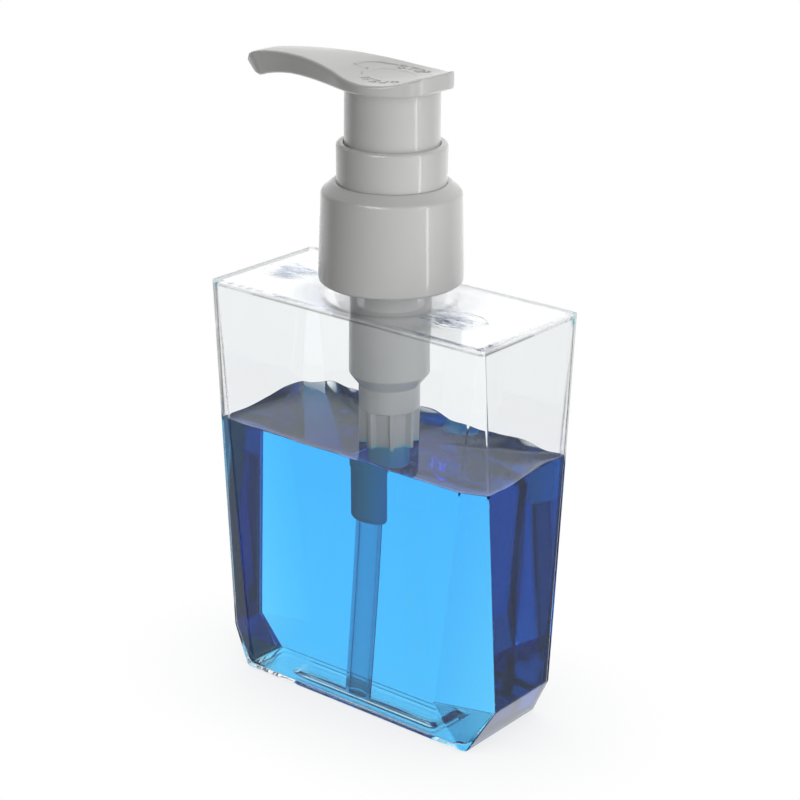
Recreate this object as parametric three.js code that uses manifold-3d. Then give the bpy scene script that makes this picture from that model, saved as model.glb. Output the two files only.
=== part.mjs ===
// Soap pump dispenser: a flat faceted clear bottle with a 28/410 neck and a left-right lotion pump.
// Millimetres, +Z up, z = 0 on the standing face. The spout points along -X and the wide front faces -Y.
import * as THREE from 'three';
import { mergeVertices } from 'three/addons/utils/BufferGeometryUtils.js';
import Module from 'manifold-3d';

const wasm = await Module();
wasm.setup();

// ---- Driving dimensions -------------------------------------------------------------------------

const GAP = 0.3;                   // clearance between pieces that touch in the real object

// Bottle
const SHOULDER_Z = 100;            // top of the rectangular body
const TOP_HALF_X = 39.5;           // half width at the shoulder
const TOP_HALF_Y = 17.6;           // half depth at the shoulder
const BASE_HALF_X = 34;            // half width of the standing face
const BASE_HALF_Y = 13.7;          // half depth of the standing face
const FACET_Z = 9.6;               // level at which the corner facets are widest
const FACET_HALF_X = 38.6;         // half width at that level
const BOTTLE_WALL = 1.1;
const CAVITY_TOP_Z = 98;
const FLOOR_Z = 2.6;               // inside floor
const RECESS_HALF_X = 22;          // push-up under the base
const RECESS_HALF_Y = 5.8;
const RECESS_DEPTH = 1.2;
const LIQUID_Z = 64.7;             // fill level

// Neck finish and thread
const NECK_TOP_Z = 118.8;
const NECK_R = 12.6;
const NECK_BORE_R = 11.1;
const THREAD_R = 13.75;
const THREAD_PITCH = 4.233;
const THREAD_START_Z = 108;

// Closure collar
const COLLAR_BOTTOM_Z = 103.9;
const COLLAR_TOP_Z = 126.93;
const COLLAR_R = 16.5;
const COLLAR_TOP_R = 15.9;
const COLLAR_BORE_R = 14.1;
const COLLAR_HOLE_R = 12.3;
const COLLAR_PLATE_Z = 124;        // underside of the top plate
const COLLAR_EDGE_Z = 124.8;       // level where the sloping top meets the wall

// Lock sleeve
const SLEEVE_R = 12.55;
const SLEEVE_BORE_R = 11.05;
const SLEEVE_TOP_Z = 135.85;
const SLEEVE_FLANGE_Z = 122.2;
const GUIDE_R = 3.8;               // bore that guides the stem
const STOP_TUBE_R = 6.6;           // tube that carries the turn stops
const STOP_TOP_Z = 135.6;
const TURN_RANGE = 60;             // degrees the head turns between its marks

// Pump housing
const FLANGE_R = 13.6;
const FLANGE_Z = 120.6;
const CHAMBER_R = 8;
const HOUSING_R = 9.3;
const LOWER_R = 7;
const CAGE_R = 5.3;
const SOCKET_R = 5;
const SOCKET_BOTTOM_Z = 47.2;
const LOWER_Z = 73.3;              // underside of the lower cylinder, where the fins start
const SPRING_LEDGE_Z = 74.7;
const FIN_R = 7;
const FIN_BOTTOM_Z = 64;
const FIN_COUNT = 8;

// Moving core
const STEM_R = 3.4;
const STEM_BORE_R = 2;
const STEM_TOP_Z = 147.9;
const STEM_BOTTOM_Z = 106.6;
const ROD_FLANGE_Z = 104.8;
const SPRING_MEAN_R = 4.3;
const WIRE_R = 0.5;
const BALL_R = 2.2;
const BALL_Z = 67.2;

// Dip tube
const TUBE_R = 3.65;
const TUBE_BORE_R = 2.5;
const TUBE_BOTTOM_Z = 3;
const TUBE_TOP_Z = 59.9;
const TUBE_LEAN = 8.4;             // how far the soft tube's foot leans to the front wall
const PUMP_RISE = 6.4;             // how far the tube lifts when the closure is unscrewed

// Actuator head
const SKIRT_R = 10.75;
const SKIRT_BORE_R = 9.25;
const SKIRT_BOTTOM_Z = 134.6;
const HEAD_CEILING_Z = 148.6;
const BOSS_R = 5;
const BOSS_BOTTOM_Z = 141;

// ---- Materials ----------------------------------------------------------------------------------

const clearPlastic = (name, color, opacity) => {
  const material = new THREE.MeshStandardMaterial({ name, color, roughness: 0.05 });
  material.transparent = true;
  material.opacity = opacity;
  return material;
};
const opaque = (name, color, roughness, metalness = 0) =>
  new THREE.MeshStandardMaterial({ name, color, roughness, metalness });

// ---- Solid helpers ------------------------------------------------------------------------------

// Closed mesh to a solid. A mesh whose faces point inwards is turned the right way out.
function toSolid(geometry) {
  const bare = geometry.index ? geometry.toNonIndexed() : geometry.clone();
  bare.deleteAttribute('normal');
  bare.deleteAttribute('uv');
  const merged = mergeVertices(bare, 1e-4);
  const vertProperties = new Float32Array(merged.attributes.position.array);
  const triVerts = new Uint32Array(merged.index.array);
  const solid = new wasm.Manifold(new wasm.Mesh({ numProp: 3, vertProperties, triVerts }));
  if (solid.volume() > 0) {
    return solid;
  }
  triVerts.reverse();
  return new wasm.Manifold(new wasm.Mesh({ numProp: 3, vertProperties, triVerts }));
}

function toGeometry(solid) {
  const mesh = solid.getMesh();
  const geometry = new THREE.BufferGeometry();
  geometry.setAttribute('position', new THREE.BufferAttribute(new Float32Array(mesh.vertProperties), 3));
  geometry.setIndex(new THREE.BufferAttribute(new Uint32Array(mesh.triVerts), 1));
  geometry.computeVertexNormals();
  return geometry;
}

function piece(name, solid, material) {
  const mesh = new THREE.Mesh(toGeometry(solid), material);
  mesh.name = name;
  return mesh;
}

// Turned body about Z. A profile that doesn't start on the axis closes on itself.
function turned(profile, segments = 40) {
  const points = profile.map(([r, z]) => new THREE.Vector2(r, z));
  if (profile[0][0] > 0) {
    points.push(points[0].clone());
  }
  const geometry = new THREE.LatheGeometry(points, segments);
  geometry.rotateX(Math.PI / 2);
  return toSolid(geometry);
}

const ring = (innerR, outerR, z0, z1, segments) =>
  turned([[innerR, z0], [outerR, z0], [outerR, z1], [innerR, z1]], segments);

const disc = (r, z0, z1, segments) => turned([[0, z0], [r, z0], [r, z1], [0, z1]], segments);

// Block between two radii, standing off the axis at the given angle in degrees.
function fin(angle, innerR, outerR, thickness, z0, z1) {
  const geometry = new THREE.BoxGeometry(outerR - innerR, thickness, z1 - z0);
  geometry.translate((innerR + outerR) / 2, 0, (z0 + z1) / 2);
  geometry.rotateZ(THREE.MathUtils.degToRad(angle));
  return toSolid(geometry);
}

// Skin through a list of equal-length rings of [x, y, z], with both ends closed.
function loft(rings) {
  const count = rings[0].length;
  const positions = rings.flat(2);
  const index = [];
  for (let i = 0; i + 1 < rings.length; i += 1) {
    for (let j = 0; j < count; j += 1) {
      const a = i * count + j;
      const b = i * count + (j + 1) % count;
      index.push(a, b, b + count, a, b + count, a + count);
    }
  }
  const last = (rings.length - 1) * count;
  for (let j = 1; j + 1 < count; j += 1) {
    index.push(0, j + 1, j);
    index.push(last, last + j, last + j + 1);
  }
  const geometry = new THREE.BufferGeometry();
  geometry.setAttribute('position', new THREE.Float32BufferAttribute(positions, 3));
  geometry.setIndex(index);
  return toSolid(geometry);
}

// Bar wound round the Z axis. place(t) gives the angle in radians, the height and the section size at
// t = 0 to 1, and section is a list of [radial, axial] offsets.
function wound(steps, radius, section, place) {
  const rings = [];
  for (let i = 0; i <= steps; i += 1) {
    const { angle, z, size } = place(i / steps);
    rings.push(section.map(([dr, dz]) => {
      const r = radius + dr * size;
      return [r * Math.cos(angle), r * Math.sin(angle), z + dz * size];
    }));
  }
  return loft(rings);
}

const arc = (cx, cz, r, from, to, steps) => Array.from({ length: steps + 1 }, (_, i) => {
  const t = THREE.MathUtils.degToRad(from + (to - from) * i / steps);
  return [cx + r * Math.cos(t), cz + r * Math.sin(t)];
});

const lerp = THREE.MathUtils.lerp;

// ---- Bottle -------------------------------------------------------------------------------------

// Corner facets: a wide one at the front right and back left, a narrow one on the other diagonal.
const faceHalfY = (z) => lerp(BASE_HALF_Y, TOP_HALF_Y, z / SHOULDER_Z);
const WIDE = { front: [25, -faceHalfY(10.2), 10.2], side: [FACET_HALF_X, -8.4, FACET_Z] };
const NARROW = { side: [FACET_HALF_X, 12.7, FACET_Z], back: [32.7, faceHalfY(8), 8] };

const bothHalves = (half) => [...half, ...half.map(([x, y, z]) => [-x, -y, z])];

// Rectangle with the corners cut along the direction of the facets.
function cutRectangle(halfX, halfY, z) {
  return bothHalves([
    [halfX - 1.3, -halfY, z],
    [halfX, -halfY + 0.55, z],
    [halfX, halfY - 0.26, z],
    [halfX - 1.2, halfY, z],
  ]);
}

const facetRing = () => bothHalves([WIDE.front, WIDE.side, NARROW.side, NARROW.back]);

// Outline of the body at a height above the facets' widest level.
function outlineAt(z) {
  const top = cutRectangle(TOP_HALF_X, TOP_HALF_Y, SHOULDER_Z);
  return facetRing().map((low, i) => {
    const t = (z - low[2]) / (SHOULDER_Z - low[2]);
    return [lerp(low[0], top[i][0], t), lerp(low[1], top[i][1], t), z];
  });
}

// The same outline pulled in by a distance on all four sides.
function insetOutline(z, insetX, insetY, atZ = z) {
  const outline = outlineAt(z);
  const kx = 1 - insetX / Math.max(...outline.map((p) => p[0]));
  const ky = 1 - insetY / Math.max(...outline.map((p) => p[1]));
  return outline.map(([x, y]) => [x * kx, y * ky, atZ]);
}

function bottleShell() {
  return loft([
    cutRectangle(BASE_HALF_X - 0.5, BASE_HALF_Y - 0.5, 0),
    cutRectangle(BASE_HALF_X + 0.24, BASE_HALF_Y + 0.02, 0.5),
    facetRing(),
    outlineAt(SHOULDER_Z - 0.7),
    cutRectangle(TOP_HALF_X - 0.7, TOP_HALF_Y - 0.7, SHOULDER_Z),
  ]);
}

// Space inside the body, down to a floor whose edges sweep in above the bevelled base.
function cavity(topZ, skin) {
  const wall = BOTTLE_WALL + skin;
  return loft([
    insetOutline(11, wall + 4.6, wall + 0.6, FLOOR_Z + skin),
    insetOutline(11, wall + 2.6, wall + 0.4, 4.8 + skin),
    insetOutline(11, wall + 1, wall + 0.2, 8 + skin),
    insetOutline(11, wall, wall),
    insetOutline(topZ, wall, wall),
  ]);
}

function neck() {
  return turned([
    [0, 99],
    [16.6, 99],
    ...arc(16.6, 103.9, 4, -90, -180, 6),
    [NECK_R, 118.3],
    [NECK_R - 0.4, NECK_TOP_Z],
    [0, NECK_TOP_Z],
  ], 48);
}

function neckBore() {
  return turned([
    [0, CAVITY_TOP_Z - 0.5],
    [15.4, CAVITY_TOP_Z - 0.5],
    ...arc(15.4, 102.3, 4.3, -90, -180, 4),
    [NECK_BORE_R, NECK_TOP_Z + 1],
    [0, NECK_TOP_Z + 1],
  ], 48);
}

// Right-hand ridge that fades out at both ends.
function thread(rootR, crest, startZ, turns) {
  const section = [[0, -1.1], [crest, -0.5], [crest, 0.5], [0, 1.1]];
  return wound(Math.round(turns * 32), rootR, section, (t) => ({
    angle: t * turns * 2 * Math.PI,
    z: startZ + t * turns * THREAD_PITCH,
    size: Math.min(1, 0.25 + 12 * Math.min(t, 1 - t)),
  }));
}

function bottle() {
  const recess = loft([
    cutRectangle(RECESS_HALF_X, RECESS_HALF_Y, -0.5),
    cutRectangle(RECESS_HALF_X - 0.8, RECESS_HALF_Y - 0.8, RECESS_DEPTH),
  ]);
  return bottleShell()
    .add(neck())
    .add(thread(NECK_R - 0.15, THREAD_R - NECK_R + 0.15, THREAD_START_Z, 1.5))
    .subtract(cavity(CAVITY_TOP_Z, 0))
    .subtract(neckBore())
    .subtract(recess);
}

// Round rod that hangs straight from the pump and leans towards the front wall below it. A rod that is
// raised has all of its lean that much higher.
function leaningRod(radius, z0, z1, raised = 0) {
  const steps = 14;
  const sides = 24;
  const length = SOCKET_BOTTOM_Z - TUBE_BOTTOM_Z;
  return loft(Array.from({ length: steps + 1 }, (_, i) => {
    const z = lerp(z0, z1, i / steps);
    const hanging = THREE.MathUtils.clamp((SOCKET_BOTTOM_Z + raised - z) / length, 0, 1);
    return Array.from({ length: sides }, (_unused, j) => {
      const t = j * 2 * Math.PI / sides;
      return [radius * Math.cos(t), radius * Math.sin(t) - TUBE_LEAN * hanging ** 1.2, z];
    });
  }));
}

// Soap up to the fill level, open where the pump and its tube hang and where they rise.
function liquid() {
  const pumpSpace = turned([
    [0, SOCKET_BOTTOM_Z - 0.4],
    [SOCKET_R + GAP, SOCKET_BOTTOM_Z - 0.4],
    [SOCKET_R + GAP, 59.6],
    [CAGE_R + GAP, 59.6],
    [CAGE_R + GAP, FIN_BOTTOM_Z - 0.4],
    [FIN_R + GAP, FIN_BOTTOM_Z - 0.4],
    [FIN_R + GAP, LIQUID_Z + 1],
    [0, LIQUID_Z + 1],
  ], 32);
  const rises = [0, PUMP_RISE / 3, PUMP_RISE * 2 / 3, PUMP_RISE];
  return rises.reduce(
    (solid, raised) => solid.subtract(leaningRod(TUBE_R + GAP, 0, SOCKET_BOTTOM_Z, raised)),
    cavity(LIQUID_Z, GAP).subtract(pumpSpace),
  );
}

// ---- Closure, gasket and lock sleeve ------------------------------------------------------------

function closureCollar() {
  const body = turned([
    [COLLAR_BORE_R, COLLAR_BOTTOM_Z + 0.5],
    [COLLAR_BORE_R + 0.5, COLLAR_BOTTOM_Z],
    [COLLAR_R - 0.5, COLLAR_BOTTOM_Z],
    [COLLAR_R, COLLAR_BOTTOM_Z + 0.5],
    [COLLAR_TOP_R, COLLAR_EDGE_Z - 0.6],
    [COLLAR_TOP_R - 0.15, COLLAR_EDGE_Z - 0.1],
    [COLLAR_TOP_R - 0.6, COLLAR_EDGE_Z + 0.35],
    [COLLAR_HOLE_R + 1.1, COLLAR_TOP_Z - 0.1],
    [COLLAR_HOLE_R + 0.6, COLLAR_TOP_Z],
    [COLLAR_HOLE_R, COLLAR_TOP_Z],
    [COLLAR_HOLE_R, COLLAR_PLATE_Z],
    [COLLAR_BORE_R, COLLAR_PLATE_Z],
  ], 64);
  const start = THREAD_START_Z - THREAD_PITCH / 2;
  return body.add(thread(COLLAR_BORE_R + 0.15, -1.25, start, 1.25));
}

const gasket = () => ring(HOUSING_R + GAP, 13.4, NECK_TOP_Z + GAP, FLANGE_Z - GAP, 48);

function lockSleeve() {
  const body = turned([
    [GUIDE_R, 113.5],
    [5.2, 113.5],
    [5.2, SLEEVE_FLANGE_Z],
    [6.9, SLEEVE_FLANGE_Z],
    [6.9, 118],
    [CHAMBER_R - GAP, 118],
    [CHAMBER_R - GAP, SLEEVE_FLANGE_Z],
    [FLANGE_R, SLEEVE_FLANGE_Z],
    [FLANGE_R, SLEEVE_FLANGE_Z + 1.5],
    [COLLAR_HOLE_R - GAP, SLEEVE_FLANGE_Z + 1.5],
    [COLLAR_HOLE_R - GAP, COLLAR_TOP_Z + GAP],
    [SLEEVE_R, COLLAR_TOP_Z + GAP],
    ...arc(SLEEVE_R - 0.9, SLEEVE_TOP_Z - 0.9, 0.9, 0, 90, 3),
    [SLEEVE_BORE_R, SLEEVE_TOP_Z - 0.5],
    [SLEEVE_BORE_R, SLEEVE_FLANGE_Z + 1.2],
    [STOP_TUBE_R, SLEEVE_FLANGE_Z + 1.2],
    [STOP_TUBE_R, STOP_TOP_Z],
    [STOP_TUBE_R - 1.1, STOP_TOP_Z],
    [STOP_TUBE_R - 1.1, SLEEVE_FLANGE_Z + 1.2],
    [GUIDE_R, SLEEVE_FLANGE_Z + 1.2],
  ], 48);
  const stops = [-12, TURN_RANGE + 12];
  return stops.reduce((solid, angle) => solid.add(
    fin(angle, STOP_TUBE_R - 0.3, 8.8, 1.2, SLEEVE_FLANGE_Z + 1, STOP_TOP_Z),
  ), body);
}

// ---- Pump housing and what hangs below it -------------------------------------------------------

function pumpHousing() {
  let body = turned([
    [TUBE_R + GAP, SOCKET_BOTTOM_Z],
    [SOCKET_R - 0.5, SOCKET_BOTTOM_Z],
    [SOCKET_R, SOCKET_BOTTOM_Z + 0.6],
    [SOCKET_R, 60],
    [CAGE_R, 60],
    [CAGE_R, LOWER_Z],
    [LOWER_R, LOWER_Z],
    [LOWER_R, 79.1],
    [LOWER_R + 0.25, 79.4],
    [HOUSING_R, 82],
    [HOUSING_R, FLANGE_Z],
    [FLANGE_R, FLANGE_Z],
    [FLANGE_R, FLANGE_Z + 1.3],
    [CHAMBER_R, FLANGE_Z + 1.3],
    [CHAMBER_R, 83.4],
    [5.6, 80.5],
    [5.6, SPRING_LEDGE_Z],
    [1.9, SPRING_LEDGE_Z],
    [1.9, 72.3],
    [2.9, 72.3],
    [2.9, 66.8],
    [1.4, 65.3],
    [1.4, 60.2],
    [TUBE_R + GAP, 60.2],
  ]);
  for (let i = 0; i < FIN_COUNT; i += 1) {
    body = body.add(fin(i * 360 / FIN_COUNT, CAGE_R - 0.4, FIN_R, 1, FIN_BOTTOM_Z, LOWER_Z + 0.2));
  }
  const vent = new THREE.CylinderGeometry(0.6, 0.6, 4, 12);
  vent.rotateZ(Math.PI / 2);
  vent.translate((CHAMBER_R + HOUSING_R) / 2, 0, 116);
  return body.subtract(toSolid(vent));
}

const dipTube = () => leaningRod(TUBE_R, TUBE_BOTTOM_Z, TUBE_TOP_Z)
  .subtract(leaningRod(TUBE_BORE_R, TUBE_BOTTOM_Z - 1, TUBE_TOP_Z + 1));

// Compression spring with a closed coil at each end.
function returnSpring() {
  const low = SPRING_LEDGE_Z + GAP + WIRE_R;
  const high = ROD_FLANGE_Z - GAP - WIRE_R;
  const turns = 10;
  const dead = 2.1 * WIRE_R;
  const section = Array.from({ length: 6 }, (_, i) => {
    const t = i * Math.PI / 3;
    return [WIRE_R * Math.cos(t), WIRE_R * Math.sin(t)];
  });
  return wound(turns * 14, SPRING_MEAN_R, section, (t) => {
    const turn = t * turns;
    const open = THREE.MathUtils.clamp((turn - 1) / (turns - 2), 0, 1);
    const ends = Math.min(turn, 1) + Math.max(turn - turns + 1, 0);
    return {
      angle: turn * 2 * Math.PI,
      z: low + ends * dead + open * (high - low - 2 * dead),
      size: 1,
    };
  });
}

function inletBall() {
  const geometry = new THREE.SphereGeometry(BALL_R, 20, 12);
  geometry.translate(0, 0, BALL_Z);
  return toSolid(geometry);
}

// ---- Plunger ------------------------------------------------------------------------------------

// Hollow stem with a shoulder that pushes the seal down and notches that let the soap in.
function stem() {
  let body = turned([
    [STEM_BORE_R, STEM_BOTTOM_Z],
    [STEM_R, STEM_BOTTOM_Z],
    [STEM_R, 111.6],
    [5, 111.6],
    [5, 113.2],
    [STEM_R, 113.2],
    [STEM_R, STEM_TOP_Z],
    [STEM_BORE_R, STEM_TOP_Z],
  ], 32);
  for (let angle = 0; angle < 360; angle += 90) {
    body = body.subtract(fin(angle, STEM_BORE_R - 0.5, STEM_R + 0.5, 1.4, STEM_BOTTOM_Z - 1, 108));
  }
  return body;
}

// Rod that closes the stem's foot, carries the seal and centres the spring.
const valveRod = () => turned([
  [0, 96],
  [2.1, 96],
  [2.6, 96.6],
  [2.6, ROD_FLANGE_Z],
  [5.2, ROD_FLANGE_Z],
  [5.2, STEM_BOTTOM_Z - GAP],
  [1.6, STEM_BOTTOM_Z - GAP],
  [1.6, 117.6],
  [1.2, 118],
  [0, 118],
], 32);

// Sliding seal: a sleeve on the stem and a double lip on the chamber wall, joined by a web.
const pistonSeal = () => turned([
  [STEM_R + GAP, STEM_BOTTOM_Z],
  [5.6, STEM_BOTTOM_Z],
  [5.6, 107.8],
  [6.7, 107.8],
  [7.3, 105.6],
  [7.9, 105.6],
  [7.6, 108.4],
  [7.9, 112],
  [7.3, 112],
  [6.7, 109.4],
  [5.6, 109.4],
  [5.6, 110.6],
  [STEM_R + GAP, 110.6],
]);

// Stations along the spout: distance from the axis towards the tip, half width, height of the top
// edge, height of the underside, crown of the top and how far the section leans back at its foot.
const HEAD_STATIONS = [
  [-13.2, 3.2, 152.2, 149.2, 0, 0],
  [-12.8, 4.9, 152.5, 148.8, 0, 0],
  [-11.5, 7.1, 152.1, 148.5, 0, 0],
  [-9.5, 8.9, 151.5, 148.35, -0.05, 0],
  [-7, 10.7, 151, 148.35, -0.1, 0],
  [-4, 12.05, 150.75, 148.35, -0.15, 0],
  [-1, 12.6, 150.7, 148.35, -0.15, 0],
  [2, 12.35, 150.9, 148.35, -0.15, 0],
  [6, 11.3, 151.45, 148.35, -0.1, 0],
  [10, 9.8, 152.05, 148.35, 0, 0],
  [14.5, 8.3, 152.5, 148.4, 0.1, 0],
  [19.2, 6.85, 152.75, 148.35, 0.2, 0],
  [23.8, 5.6, 152.75, 148.2, 0.25, 0.1],
  [28.4, 4.7, 152.55, 147.85, 0.25, 0.5],
  [33, 4.15, 152.15, 147.25, 0.25, 1.3],
  [36.4, 3.9, 151.7, 146.7, 0.2, 2.2],
  [39, 3.7, 151.15, 146.15, 0.15, 3.1],
  [40.4, 3.2, 150.75, 145.9, 0.05, 3.5],
  [41.1, 2.4, 150.35, 145.95, 0, 3.5],
];

function headSection([s, w, top, foot, crown, lean]) {
  const half = [[w, foot + 0.7], [w, top - 0.55], [w - 0.5, top]];
  const across = [0.66, 0.33, 0, -0.33, -0.66].map((k) => [k * w, top + crown * (1 - k * k)]);
  const mirrored = half.map(([y, z]) => [-y, z]).reverse();
  const outline = [[-w + 0.7, foot], [w - 0.7, foot], ...half, ...across, ...mirrored];
  return outline.map(([y, z]) => [-s + lean * (top - z) / (top - foot), y, z]);
}

// Soap way from above the stem to the tip: flat over the skirt, rounder in the spout.
function soapWay() {
  const stations = [
    [-1, 1.5, 0.85, 149],
    [9, 1.5, 0.85, 149.1],
    [13, 1.5, 0.85, 149.9],
    [18, 1.5, 1, 150.5],
    [26, 1.4, 1.2, 150.3],
    [33, 1.4, 1.3, 149.4],
    [42.5, 1.4, 1.3, 147.6],
  ];
  return loft(stations.map(([s, halfY, halfZ, z]) => Array.from({ length: 12 }, (_, i) => {
    const t = i * Math.PI / 6;
    return [-s, halfY * Math.cos(t), z + halfZ * Math.sin(t)];
  })));
}

function actuatorHead() {
  const slab = loft(HEAD_STATIONS.map(headSection));
  const duct = new THREE.BoxGeometry(9, 4.4, 2);
  duct.translate(-5.5, 0, HEAD_CEILING_Z - 0.1);
  return slab
    .add(disc(SKIRT_R, SKIRT_BOTTOM_Z, 149, 64))
    .subtract(disc(SKIRT_BORE_R, SKIRT_BOTTOM_Z - 1, HEAD_CEILING_Z, 48))
    .add(disc(BOSS_R, BOSS_BOTTOM_Z, HEAD_CEILING_Z + 0.5, 32))
    .add(toSolid(duct))
    .add(fin(0, 7, SKIRT_BORE_R + 0.4, 1.2, SKIRT_BOTTOM_Z, HEAD_CEILING_Z + 0.3))
    .subtract(disc(STEM_R + GAP, BOSS_BOTTOM_Z - 1, STEM_TOP_Z + GAP, 32))
    .subtract(disc(STEM_BORE_R, STEM_TOP_Z, 149, 24))
    .subtract(soapWay());
}

// ---- Assembly -----------------------------------------------------------------------------------

const group = new THREE.Group();
group.name = 'soap_pump_dispenser';
group.add(
  piece('bottle', bottle(), clearPlastic('clear_pet', 0xeef4f6, 0.3)),
  piece('liquid_soap', liquid(), clearPlastic('blue_soap', 0x4db5f5, 0.7)),
  piece('closure_collar', closureCollar(), opaque('white_pp', 0xe9e9e6, 0.3)),
  piece('gasket', gasket(), opaque('foam_gasket', 0xdedbd2, 0.8)),
  piece('lock_sleeve', lockSleeve(), opaque('white_pp', 0xe9e9e6, 0.3)),
  piece('pump_housing', pumpHousing(), opaque('white_pp', 0xe9e9e6, 0.35)),
  piece('dip_tube', dipTube(), clearPlastic('natural_pe', 0xe6eef0, 0.5)),
  piece('return_spring', returnSpring(), opaque('spring_steel', 0xb5b8bc, 0.35, 1)),
  piece('inlet_ball', inletBall(), clearPlastic('ball_glass', 0xd8e4e0, 0.6)),
  piece('stem', stem(), opaque('white_pp', 0xe9e9e6, 0.35)),
  piece('valve_rod', valveRod(), opaque('white_pp', 0xe9e9e6, 0.35)),
  piece('piston_seal', pistonSeal(), opaque('seal_pe', 0xdfe4e6, 0.5)),
  piece('actuator_head', actuatorHead(), opaque('white_pp', 0xe9e9e6, 0.3)),
);

export default group;
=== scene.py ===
"""Soap pump dispenser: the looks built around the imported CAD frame.

Metres, +Z up, standing on z = 0. The spout points along -X and the wide front faces -Y.
Outlines and rings are given in millimetres, and the mesh helpers turn them into metres.
"""

import math

import bmesh
import bpy
import numpy as np
from mathutils import Matrix, Vector, noise


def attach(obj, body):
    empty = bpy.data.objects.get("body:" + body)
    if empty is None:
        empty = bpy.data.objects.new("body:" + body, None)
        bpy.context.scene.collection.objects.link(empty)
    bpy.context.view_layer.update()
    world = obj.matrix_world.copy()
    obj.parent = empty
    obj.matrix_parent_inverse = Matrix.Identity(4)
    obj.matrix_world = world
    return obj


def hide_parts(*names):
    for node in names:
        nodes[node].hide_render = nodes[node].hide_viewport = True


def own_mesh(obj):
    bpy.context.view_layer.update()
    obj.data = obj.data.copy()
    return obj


MM = 0.001  # a millimetre in metres

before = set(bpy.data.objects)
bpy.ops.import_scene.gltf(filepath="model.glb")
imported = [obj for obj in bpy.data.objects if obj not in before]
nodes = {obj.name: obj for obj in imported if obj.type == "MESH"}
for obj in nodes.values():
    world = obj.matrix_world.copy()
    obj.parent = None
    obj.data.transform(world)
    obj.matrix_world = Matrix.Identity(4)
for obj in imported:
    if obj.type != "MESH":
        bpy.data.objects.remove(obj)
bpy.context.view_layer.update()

# ---- Camera ----

CAMERA_AZIMUTH = math.radians(38.734)
CAMERA_ELEVATION = math.radians(20.616)
CAMERA_ROLL = math.radians(0.582)
CAMERA_DISTANCE = 510.08 * MM
TARGET_ASIDE = 2.313 * MM
TARGET_HEIGHT = 74.561 * MM
SENSOR = 36.0
FOCAL_PIXELS = 2202.8  # for a picture 800 pixels wide
LENS = FOCAL_PIXELS / 800 * SENSOR


def make_camera():
    """Camera at the photograph's viewing angle, turned from -Y towards +X."""
    a, e, r = CAMERA_AZIMUTH, CAMERA_ELEVATION, CAMERA_ROLL
    back = Vector((math.sin(a) * math.cos(e), -math.cos(a) * math.cos(e), math.sin(e)))
    right = Vector((math.cos(a), math.sin(a), 0))
    up = back.cross(right)
    x_axis = right * math.cos(r) + up * math.sin(r)
    y_axis = up * math.cos(r) - right * math.sin(r)
    place = Vector((0, 0, TARGET_HEIGHT)) + right * TARGET_ASIDE + back * CAMERA_DISTANCE
    data = bpy.data.cameras.new("camera")
    data.sensor_width = SENSOR
    data.lens = LENS
    data.clip_start = 0.01
    data.clip_end = 20
    camera = bpy.data.objects.new("camera", data)
    bpy.context.scene.collection.objects.link(camera)
    turn = Matrix((x_axis, y_axis, back)).transposed().to_4x4()
    camera.matrix_world = Matrix.Translation(place) @ turn
    bpy.context.scene.camera = camera


make_camera()

# ---- Node materials ----


class Nodes:
    """Short calls that add nodes to a tree."""

    def __init__(self, tree):
        self.tree = tree
        tree.nodes.clear()

    def node(self, kind, **values):
        made = self.tree.nodes.new("ShaderNode" + kind)
        for key, value in values.items():
            if hasattr(made, key):
                setattr(made, key, value)
            else:
                made.inputs[key.replace("_", " ")].default_value = value
        return made

    def link(self, source, target):
        self.tree.links.new(source, target)

    def maths(self, operation, *values):
        made = self.node("Math", operation=operation)
        for socket, value in zip(made.inputs, values):
            if isinstance(value, (int, float)):
                socket.default_value = value
            else:
                self.link(value, socket)
        return made.outputs[0]

    def vector(self, operation, source, other=(0, 0, 0)):
        made = self.node("VectorMath", operation=operation)
        self.link(source, made.inputs[0])
        made.inputs[1].default_value = other
        return made.outputs


class Shader(Nodes):
    """A node material."""

    def __init__(self, name):
        self.material = bpy.data.materials.new(name)
        self.material.use_nodes = True
        super().__init__(self.material.node_tree)
        self.out = self.node("OutputMaterial")

    def place(self):
        return self.node("TexCoord").outputs["Object"]

    def principled(self, colour=None, roughness=None, normal=None, **values):
        shader = self.node("BsdfPrincipled", **values)
        sources = {"Base Color": colour, "Roughness": roughness, "Normal": normal}
        for socket, source in sources.items():
            if source is not None:
                self.link(source, shader.inputs[socket])
        self.link(shader.outputs[0], self.out.inputs["Surface"])
        return shader

    def absorbing(self, colour, density):
        absorb = self.node("VolumeAbsorption", Color=(*colour, 1), Density=density)
        self.link(absorb.outputs[0], self.out.inputs["Volume"])


def object_noise(s, scale, detail=2.0, roughness=0.5, stretch=(1, 1, 1)):
    """Noise fixed to the piece, as a 0 to 1 value."""
    made = s.node("TexNoise", Scale=scale, Detail=detail, Roughness=roughness)
    s.link(s.vector("MULTIPLY", s.place(), stretch)[0], made.inputs["Vector"])
    return made.outputs["Fac"]


def ranged(s, value, low, high, to_low, to_high):
    """The value's stretch from low to high laid on another stretch, and held at its ends."""
    made = s.node("MapRange", From_Min=low, From_Max=high, To_Min=to_low, To_Max=to_high)
    s.link(value, made.inputs["Value"])
    return made.outputs["Result"]


def tinted(s, value, dark, light):
    """Colour that goes from dark to light with the value."""
    made = s.node("Mix", data_type="RGBA")
    s.link(value, made.inputs[0])
    made.inputs[6].default_value = (*dark, 1)
    made.inputs[7].default_value = (*light, 1)
    return made.outputs[2]


def bumped(s, height, distance, strength, under=None):
    """Normal bent by a height, over the normal given as under."""
    made = s.node("Bump", Strength=strength, Distance=distance)
    s.link(height, made.inputs["Height"])
    if under is not None:
        s.link(under, made.inputs["Normal"])
    return made.outputs["Normal"]


def product(s, a, b):
    return s.maths("MULTIPLY", a, b)


def larger(s, a, b):
    return s.maths("MAXIMUM", a, b)


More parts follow.
